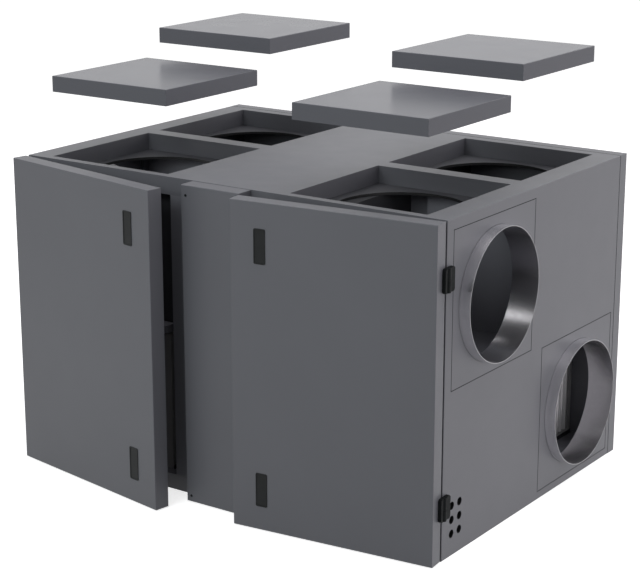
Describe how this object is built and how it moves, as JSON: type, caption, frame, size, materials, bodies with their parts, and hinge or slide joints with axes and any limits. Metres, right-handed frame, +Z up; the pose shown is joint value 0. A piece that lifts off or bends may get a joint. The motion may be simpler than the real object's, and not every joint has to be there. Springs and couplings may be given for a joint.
{
  "type": "air handling unit",
  "caption": "Insulated air handling unit with two hinged front doors, round duct spigots on both ends and square roof openings with lift-off lids.",
  "frame": {"origin": "on the floor, in the middle of the casing's footprint", "axes": "+X to the right along the front, -Y out of the front, +Z up"},
  "size_m": [1.612, 1.2769, 1.345],
  "materials": {
    "casing_paint": "satin dark grey powder coat",
    "front_paint": "satin dark grey powder coat",
    "lid_paint": "satin dark grey powder coat",
    "inner_sheet": "matt coated sheet inside the casing",
    "tray_paint": "matt coated sheet",
    "spigot_panel_paint": "satin dark grey powder coat",
    "spigot_steel": "rolled galvanised sheet",
    "filter_media": "pleated filter fleece",
    "seal_rubber": "soft black seal",
    "black_plastic": "moulded black plastic"
  },
  "bodies": {
    "cabinet": {"back_panel": "casing_paint", "base_panel": "casing_paint", "centre_panel": "front_paint", "exchanger_casing": "inner_sheet", "left_casing_hinge_halves": "black_plastic", "left_end_wall": "casing_paint", "left_filter_rails": "spigot_steel", "left_front_filter": "filter_media", "left_front_post": "inner_sheet", "left_front_tray": "tray_paint", "left_lower_spigot": "spigot_steel", "left_lower_spigot_panel": "spigot_panel_paint", "left_partition": "inner_sheet", "left_rear_filter": "filter_media", "left_rear_tray": "tray_paint", "left_shelf": "inner_sheet", "left_upper_spigot": "spigot_steel", "left_upper_spigot_panel": "spigot_panel_paint", "right_casing_hinge_halves": "black_plastic", "right_end_wall": "casing_paint", "right_filter_rails": "spigot_steel", "right_front_filter": "filter_media", "right_front_post": "inner_sheet", "right_front_tray": "tray_paint", "right_lower_spigot": "spigot_steel", "right_lower_spigot_panel": "spigot_panel_paint", "right_partition": "inner_sheet", "right_rear_filter": "filter_media", "right_rear_tray": "tray_paint", "right_shelf": "inner_sheet", "right_upper_spigot": "spigot_steel", "right_upper_spigot_panel": "spigot_panel_paint", "roof_panel": "casing_paint"},
    "left_door": {"left_door": "front_paint", "left_door_seal": "seal_rubber", "left_door_latches": "black_plastic", "left_door_hinge_halves": "black_plastic"},
    "right_door": {"right_door": "front_paint", "right_door_seal": "seal_rubber", "right_door_latches": "black_plastic", "right_door_hinge_halves": "black_plastic"},
    "left_front_lid": {"left_front_lid": "lid_paint"},
    "left_rear_lid": {"left_rear_lid": "lid_paint"},
    "right_front_lid": {"right_front_lid": "lid_paint"},
    "right_rear_lid": {"right_rear_lid": "lid_paint"}
  },
  "joints": [
    {"name": "left_door_hinge", "type": "hinge", "parent": "cabinet", "child": "left_door", "pos_m": [-0.7785, -0.554, 0], "axis": [0, 0, -1], "range_deg": [-10.4, 109.6]},
    {"name": "right_door_hinge", "type": "hinge", "parent": "cabinet", "child": "right_door", "pos_m": [0.7785, -0.554, 0], "axis": [0, 0, 1], "range_deg": [-5.5, 114.5]},
    {"name": "left_front_lid_lift", "type": "slide", "parent": "cabinet", "child": "left_front_lid", "axis": [0, 0, 1], "range_m": [-0.254, 0]},
    {"name": "left_rear_lid_lift", "type": "slide", "parent": "cabinet", "child": "left_rear_lid", "axis": [0, 0, 1], "range_m": [-0.345, 0]},
    {"name": "right_front_lid_lift", "type": "slide", "parent": "cabinet", "child": "right_front_lid", "axis": [0, 0, 1], "range_m": [-0.264, 0]},
    {"name": "right_rear_lid_lift", "type": "slide", "parent": "cabinet", "child": "right_rear_lid", "axis": [0, 0, 1], "range_m": [-0.345, 0]}
  ]
}
